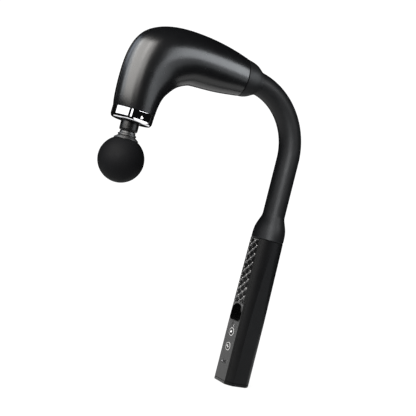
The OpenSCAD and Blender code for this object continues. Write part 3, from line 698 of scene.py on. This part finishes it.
def handle_casing():
    """The casing, open at the front, with a narrower top that holds the neck's clamp."""
    front, lip_x, lip_y, wide_r, narrow_r = PANEL_X - 0.02, 12.95, 6.6, 15.9, 14.62
    heights = edge_steps(CAP_H + CAP_SEAM, HANDLE_H, 0.5,
                         [8, 14, 25, 40, 55, 70, 80, 95, 110, 125, CLAMP_Z, CLAMP_Z + 0.05, 146])
    rings = []
    for z, inset in heights:
        outer = softened([(-front, lip_y)] + handle_half(z, front, inset), (1,), 0.25)
        r = wide_r if z < CLAMP_Z + 0.02 else narrow_r
        first = math.acos(-lip_x / r)
        inner = [(-front, lip_y), (-lip_x, lip_y)]
        inner += arc(r, [first * (1 - i / 24) for i in range(25)])
        rings.append(at_height(mirrored(outer)[1:-1] + mirrored(inner)[::-1], z))
    boss = rounded([[1.1, 3.2, 0.1], [3.2, 3.2, 0.2], [3.2, 15.2, 0.3], [1.1, 15.2, 0.2]], steps=3)
    bosses = at_screws(lathe(boss, 48))
    obj = link_mesh("handle_casing", *together(ring_skin(rings), *bosses), HANDLE)
    even(obj)
    stand_for(obj, "housing", "handle_plastic", "handle_shell")


def cap_lip():
    """The end cap's lip, which reaches into the casing and stops short of the screws."""
    lip_x, layers = 12.85, []
    for z, r in ((2.6, 15.8), (3.9, 15.8), (4.1, 15.6)):
        first = math.acos(-lip_x / r)
        layers.append(at_height(arc(r, [first * (1 - i / 32) for i in range(65)]), z))
    lip = link_mesh("lip", *ring_skin(layers), HANDLE)
    carve(lip, at_screws(lathe([(0, CAP_H), (3.4, CAP_H), (3.4, 6), (0, 6)], 64)))
    return lip


def end_cap():
    """The end cap, with a rounded foot and two screw holes; its front is the panel's finish."""
    foot = 0.9
    heights = [(foot * (1 - math.cos(a)), foot * (1 - math.sin(a))) for a in quarter(6)]
    heights += [(2, 0.0), (CAP_H - 0.25, 0.0), (CAP_H - 0.08, 0.08), (CAP_H, 0.25)]
    rings = []
    for z, inset in heights:
        half = softened([(-FACE_X + inset, 0.0)] + handle_half(z, FACE_X - inset, inset), (1,), 0.5)
        rings.append(at_height(mirrored(half)[:-1], z))
    screw_hole = [(0, -1), (2.9, -1), (2.65, 0), (2.4, 0.25), (2.4, 1.4), (1.4, 1.4), (1.4, 6),
                  (0, 6)]
    obj = link_mesh("handle_end_cap", *ring_skin(rings), HANDLE)
    carve(obj, at_screws(lathe(screw_hole, 64)))
    lip = cap_lip()
    joined = bmesh.new()
    joined.from_mesh(obj.data)
    joined.from_mesh(lip.data)
    joined.to_mesh(obj.data)
    joined.free()
    bpy.data.objects.remove(lip)
    obj.data.materials.append(PANEL)
    for face in obj.data.polygons:
        if face.normal.x < -0.95 and face.center.x < -14.9 * MM:
            face.material_index = len(obj.data.materials) - 1
    even(obj)
    stand_for(obj, "housing", "handle_plastic", "end_cap")


def panel_ring(z, inset, front):
    """A front panel's outline: its back, sides that follow the handle, and its face.
    The face is a list of (y, how far it is raised), from one side to the other."""
    r, face_x, back_y = handle_r(z) - inset, FACE_X - inset, 6.0
    back, face = math.acos(-PANEL_X / r), math.acos(-face_x / r)
    side = arc(r, [back + (face - back) * i / 4 for i in range(5)])
    across = [(-face_x - h, y) for y, h in front]
    side = softened([(-PANEL_X, back_y)] + side + across[:1], (1, 5), 0.3)[:-1]
    return side + across + [(x, -y) for x, y in reversed(side)]


def lattice_height(y, z):
    """Raised diagonal ridges with a knot at each crossing, and sunk diamonds between."""
    slope = DIAMOND_H / DIAMOND_W
    squeeze = math.cos(math.atan(slope)) * DIAMOND_H
    u, v = ((z - LATTICE_Z + s * slope * y) / DIAMOND_H for s in (-1, 1))
    near = min(abs(u - round(u)), abs(v - round(v))) * squeeze
    ridge = 0.5 + 0.5 * math.cos(math.pi * min(near / RIDGE_HALF, 1))
    cross_y = (round(v) - round(u)) * DIAMOND_W / 2
    cross_z = LATTICE_Z + (round(u) + round(v)) / 2 * DIAMOND_H
    away = math.hypot(y - cross_y, z - cross_z) / KNOT_R
    height = -LATTICE_DEPTH + LATTICE_DEPTH * ridge
    if away < 1:
        height = max(height, KNOT_BASE + KNOT_H * math.sqrt(1 - away * away))
    half = math.sqrt(handle_r(z) ** 2 - FACE_X ** 2)
    rim = min(half - GRIP_SIDES - abs(y), z - GRIP_Z - GRIP_BOTTOM, HANDLE_H - GRIP_TOP - z)
    return height * max(0.0, min(1.0, rim / GRIP_FADE))


def dark_sides(obj):
    """The faces on the handle's round that don't face forward take the handle's finish."""
    obj.data.materials.append(HANDLE)
    for face in obj.data.polygons:
        x, y, z = face.center / MM
        if face.normal.x > -0.93 and math.hypot(x, y) > handle_r(z) - 0.12:
            face.material_index = 1


def grip_panel():
    """The grip, with its lattice as real height."""
    z0, z1, steps = GRIP_Z + 0.1, HANDLE_H - 0.1, 260
    across = [1 - i / 36 for i in range(73)]
    middle = [z0 + 0.35 + (z1 - z0 - 0.7) * i / steps for i in range(1, steps)]
    rings = []
    for z, inset in edge_steps(z0, z1, PANEL_EDGE, middle):
        half = math.sqrt(handle_r(z) ** 2 - FACE_X ** 2) - 0.5
        front = [(t * half, lattice_height(t * half, z)) for t in across]
        rings.append(at_height(panel_ring(z, inset, front), z))
    obj = link_mesh("grip_panel_lattice", *ring_skin(rings), GRIP)
    dark_sides(obj)
    stand_for(obj, "housing", "grip_plastic", "grip_panel")


def slot_outline(r):
    """The port's slot with round ends: (y, z)."""
    out = []
    for side, start in ((1, -90), (-1, 90)):
        out += [(side * SLOT_HALF + r * math.cos(a), PORT_Z + r * math.sin(a))
                for a in (math.radians(start + 180 * i / 20) for i in range(21))]
    return out


def display_outline(grow):
    """The display's outline: a round top over a base with round corners: (y, z)."""
    r, corner = DISPLAY_R + grow, DISPLAY_CORNER + grow
    out = [(r * math.cos(a), DISPLAY_TOP + r * math.sin(a))
           for a in (math.pi * i / 40 for i in range(41))]
    for side, start in ((-1, 180), (1, 270)):
        out += [(side * (r - corner) + corner * math.cos(a),
                 DISPLAY_Z + DISPLAY_CORNER + corner * math.sin(a))
                for a in (math.radians(start + 90 * i / 10) for i in range(11))]
    return out


def outline_skin(layers):
    """A closed shell through (depth, outline) layers on the handle's front."""
    return ring_skin([[(-depth, y, z) for y, z in outline] for depth, outline in layers])


def control_panel():
    """The panel, with openings for buttons, display and port, and a dimple."""
    front, dimple_rim = [(7.8, 0.0), (-7.8, 0.0)], 4.0
    rings = [at_height(panel_ring(z, inset, front), z) for z, inset in edge_steps(
        CAP_H + CAP_SEAM, GRIP_Z, PANEL_EDGE, [10, 30, 45, 60, 70])]
    obj = link_mesh("control_panel_face", *ring_skin(rings), PANEL)
    button_hole = [(0, BEHIND), (4.45, BEHIND), (4.45, 14.95), (4.7, 15.2), (4.7, AHEAD),
                   (0, AHEAD)]
    cutters = [front_lathe(button_hole, z) for z in (POWER_Z, MODE_Z)]
    bowl_r = (DIMPLE_R ** 2 + DIMPLE_DEPTH ** 2) / (2 * DIMPLE_DEPTH)
    bowl = [(r, FACE_X - DIMPLE_DEPTH + bowl_r - math.sqrt(bowl_r ** 2 - r * r))
            for r in (dimple_rim * i / 20 for i in range(21))]
    cutters.append(front_lathe(bowl + [(dimple_rim, AHEAD), (0, AHEAD)], DIMPLE_Z))
    for outline, size, wide, edge in ((display_outline, 0.06, 0.12, 14.95),
                                      (slot_outline, 1.75, 2.2, 14.85)):
        cutters.append(outline_skin([(BEHIND, outline(size)), (edge, outline(size)),
                                     (15.3, outline(wide)), (AHEAD, outline(wide))]))
    carve(obj, cutters)
    dark_sides(obj)
    even(obj)
    stand_for(obj, "housing", "panel_plastic", "control_panel")


def display_lens():
    """The window: the display's outline with a rounded front edge."""
    front, edge = 15.6, 0.45
    layers = [(PANEL_X, display_outline(0))]
    layers += [(front - edge * (1 - math.sin(a)), display_outline(-edge * (1 - math.cos(a))))
               for a in quarter(6)]
    obj = link_mesh("display_lens_gloss", *outline_skin(layers), LENS)
    even(obj)
    stand_for(obj, "housing", "lens_plastic", "display_lens")


def light_rings():
    inner, outer, front = BUTTON_R + 0.08, BUTTON_R + 1, 15.17
    profile = rounded([[inner, PANEL_X, 0.1], [outer, PANEL_X, 0.1], [outer, front, 0.35],
                       [inner, front, 0.35]], steps=5)
    rings = together(*(front_lathe(profile, z) for z in (POWER_Z, MODE_Z)))
    obj = link_mesh("light_ring_pair", *rings, LIGHT)
    stand_for(obj, "housing", "light_guide", "light_rings")


def bar_mark(y, z, half_y, half_z):
    """A raised bar with bevelled edges on a button's face."""
    def corners(grow):
        a, b = half_y + grow, half_z + grow
        return [(y + a, z + b), (y - a, z + b), (y - a, z - b), (y + a, z - b)]
    return outline_skin([(MARK_LOW, corners(0)), (MARK_HIGH - 0.06, corners(0)),
                         (MARK_HIGH, corners(-0.07))])


def push_button(node, z, marks):
    """A cap with a rounded edge, a dished face, a hidden flange and its raised marks.
    Each button is a body of its own, with its node's name."""
    front, edge, dish_r = 15.7, 0.5, 2.8
    profile = [(r, front - 0.3 * (1 - (r / dish_r) ** 2))
               for r in (0, 0.5, 1.0, 1.5, 2.0, 2.4, dish_r)]
    profile += [(BUTTON_R - edge * (1 - math.sin(a)), front - edge * (1 - math.cos(a)))
                for a in quarter(6)]
    profile += [(BUTTON_R, 13.35), (FLANGE_R - 0.1, 13.3), (FLANGE_R, 13.2), (FLANGE_R, 12.8),
                (FLANGE_R - 0.1, 12.7), (0, 12.7)]
    obj = link_mesh(node + "_cap", *together(front_lathe(profile, z), *marks), BUTTON)
    obj.data.materials.append(MARK)
    mark_faces = sum(len(faces) for _, faces in marks)
    for face in list(obj.data.polygons)[-mark_faces:]:
        face.material_index = 1
    stand_for(obj, node, "panel_plastic", node)


def power_button():
    dot = [(0, MARK_LOW), (1.05, MARK_LOW), (1.05, 15.55), (0.9, 15.68), (0, 15.72)]
    push_button("power_button", POWER_Z, [front_lathe(dot, POWER_Z, 40)])


def mode_button():
    bars = ((-1.45, -0.5, 0.8), (0, 0, 1.3), (1.45, 0.5, 0.8))
    push_button("mode_button", MODE_Z,
                [bar_mark(y, MODE_Z + dz, 0.22, half) for y, dz, half in bars])


def charging_port():
    """The socket's shell, and the dark tongue in its mouth."""
    shell, mouth = 1.6, 1.3
    socket = outline_skin([(depth, slot_outline(r)) for depth, r in (
        (9.3, shell), (14.85, shell), (15.0, 1.5), (15.0, 1.4), (14.85, mouth), (10.3, mouth))])
    tongue = [(2.6, 0.4), (-2.6, 0.4), (-2.6, -0.4), (2.6, -0.4)]
    root = [(y, PORT_Z + z) for y, z in tongue]
    tip = [(y * 0.97, PORT_Z + z * 0.7) for y, z in tongue]
    tab = outline_skin([(10.0, root), (13.85, root), (14.0, tip)])
    obj = link_mesh("charging_socket", *together(socket, tab), STEEL)
    obj.data.materials.append(DARK)
    for face in obj.data.polygons:
        x, y, z = face.center / MM
        if -14.7 < x < -10.2 and abs(y) < 2.7 and abs(z - PORT_Z) < 0.6:
            face.material_index = 1
    stand_for(obj, "housing", "contact_metal", "charging_port")


# ---- Studio ---------------------------------------------------------------
RING = ["nose_ring_chrome"]
SLEEVE = ["neck_sleeve_rubber"]
CASING = ["handle_casing"]
CAP = ["handle_end_cap"]
HEAD = ["head_shell_y_plus", "head_shell_y_minus", "neck_boot_rubber", "plunger_coupling_gloss",
        "stem_collar", "ring_mark_triangle"]
WHITE_LIGHT, WARM_LIGHT = (1, 1, 1), (1, 0.98, 0.95)
PALE_LIGHT, COOL_LIGHT, BLUE_LIGHT = (0.96, 0.98, 1), (0.92, 0.96, 1), (0.8, 0.88, 1)
MIDDLE = (-0.1, 0, 0.22)
FLOOR_AT, FLOOR_SIZE = (0.01, 0.13, -0.0002), (0.86, 0.66, 1)
# The world's strength for most rays, and for those reflected in gloss
SKY, SKY_IN_GLOSS = 1.08, 0.005


def add_floor():
    """A limited sheet of a dark colour, white mostly by its own light, so that little of the
    studio's light shows on it."""
    bpy.ops.mesh.primitive_plane_add(size=1, location=FLOOR_AT)
    floor = bpy.context.object
    floor.scale = FLOOR_SIZE
    floor.name = "floor"
    m = Nodes("floor_paper")
    m.colour(m.spread(m.noise(3.0), 0, 1), (0.1, 0.1, 0.1), (0.11, 0.11, 0.11))
    m.fix({"Roughness": 0.9, "Specular IOR Level": 0.0, "Emission Color": (1, 1, 1, 1),
           "Emission Strength": 0.9})
    floor.data.materials.append(m.mat)


def add_softbox(name, azimuth, elevation, distance, width, height, power, colour=WHITE_LIGHT,
                only=None, without=None, target=MIDDLE):
    """An area light facing its target, placed like a view: azimuth 0 is toward -Y.
    With only it lights those pieces alone, and with without all but those."""
    az, el = math.radians(azimuth), math.radians(elevation)
    out = Vector((math.sin(az) * math.cos(el), -math.cos(az) * math.cos(el), math.sin(el)))
    data = bpy.data.lights.new(name, "AREA")
    data.shape = "RECTANGLE"
    data.size, data.size_y = width, height
    data.energy = power
    data.color = colour
    light = bpy.data.objects.new(name, data)
    bpy.context.collection.objects.link(light)
    light.location = Vector(target) + distance * out
    light.rotation_euler = out.to_track_quat("Z", "Y").to_euler()
    light.visible_camera = False
    if only or without:
        chosen = bpy.data.collections.new(name + "_pieces")
        for piece in only or without:
            chosen.objects.link(bpy.data.objects[piece])
        for entry in chosen.collection_objects:
            entry.light_linking.link_state = "INCLUDE" if only else "EXCLUDE"
        light.light_linking.receiver_collection = chosen


def add_world():
    """White to the camera and for soft bounce light, dark in reflections."""
    world = bpy.data.worlds.new("studio")
    bpy.context.scene.world = world
    world.use_nodes = True
    tree = world.node_tree
    sky = tree.nodes["Background"]
    sky.inputs["Color"].default_value = (1, 1, 1, 1)
    path = tree.nodes.new("ShaderNodeLightPath")
    level = tree.nodes.new("ShaderNodeMapRange")
    level.inputs["To Min"].default_value = SKY
    level.inputs["To Max"].default_value = SKY_IN_GLOSS
    tree.links.new(path.outputs["Is Glossy Ray"], level.inputs["Value"])
    tree.links.new(level.outputs["Result"], sky.inputs["Strength"])


def add_lights():
    """Softboxes by azimuth, elevation, distance, width, height and power."""
    add_softbox("ring_wide", -86, 10, 1.2, 1.8, 0.9, 8, only=RING)
    add_softbox("ring_strip", -33, 5, 1.6, 0.22, 0.9, 1.4, only=RING)
    add_softbox("ring_top", 44, 50, 1.3, 1.1, 0.45, 12, only=RING)
    add_softbox("ring_under", 30, -34, 0.3, 0.45, 0.12, 0.3, only=RING,
                target=(-0.183, 0, 0.235))
    add_softbox("softbox_left", -71, 27, 1.3, 1.1, 1.2, 43, WARM_LIGHT, without=RING + SLEEVE)
    add_softbox("softbox_outer", -103, 24, 1.3, 0.45, 1.0, 10, COOL_LIGHT, only=HEAD)
    add_softbox("softbox_front", -38, 30, 1.3, 0.5, 1.0, 12, WARM_LIGHT,
                only=HEAD + ["massage_ball", "grip_panel_lattice"])
    add_softbox("softbox_right", 41, 23, 1.3, 1.15, 0.62, 18.5, COOL_LIGHT, only=HEAD)
    add_softbox("softbox_low", 45, 3, 1.3, 0.9, 0.5, 2.2, COOL_LIGHT, only=HEAD)
    add_softbox("softbox_neck", -22, 18, 1.3, 0.75, 1.7, 46, PALE_LIGHT, only=SLEEVE)
    add_softbox("softbox_bend", 30, 28, 1.3, 0.5, 0.5, 9, PALE_LIGHT, only=SLEEVE)
    add_softbox("softbox_neck_left", -80, 10, 1.3, 1.0, 1.2, 9, PALE_LIGHT, only=SLEEVE)
    add_softbox("softbox_handle", 36, 5, 1.3, 1.1, 1.2, 8.5, COOL_LIGHT, only=CASING + CAP)
    add_softbox("softbox_edge", -112, 10, 1.3, 0.4, 1.2, 12, only=CASING)
    add_softbox("softbox_panel", -150, 7, 1.0, 0.6, 0.2, 3.4,
                only=["control_panel_face"] + CAP, target=(-0.015, 0, 0.05))
    add_softbox("softbox_rim", -131, 28, 1.4, 0.6, 0.7, 4, BLUE_LIGHT, only=HEAD)


# ---- The model and its studio ---------------------------------------------
add_camera()
half_shell("head_shell_y_plus", 1, "head_shell_left")
half_shell("head_shell_y_minus", -1, "head_shell_right")
nose_ring()
neck_sleeve()
neck_boot()
plunger_coupling()
collar()
ball()
handle_casing()
end_cap()
grip_panel()
control_panel()
display_lens()
light_rings()
charging_port()
power_button()
mode_button()
ring_mark()
add_floor()
add_world()
add_lights()
bpy.context.scene.view_settings.view_transform = "Standard"
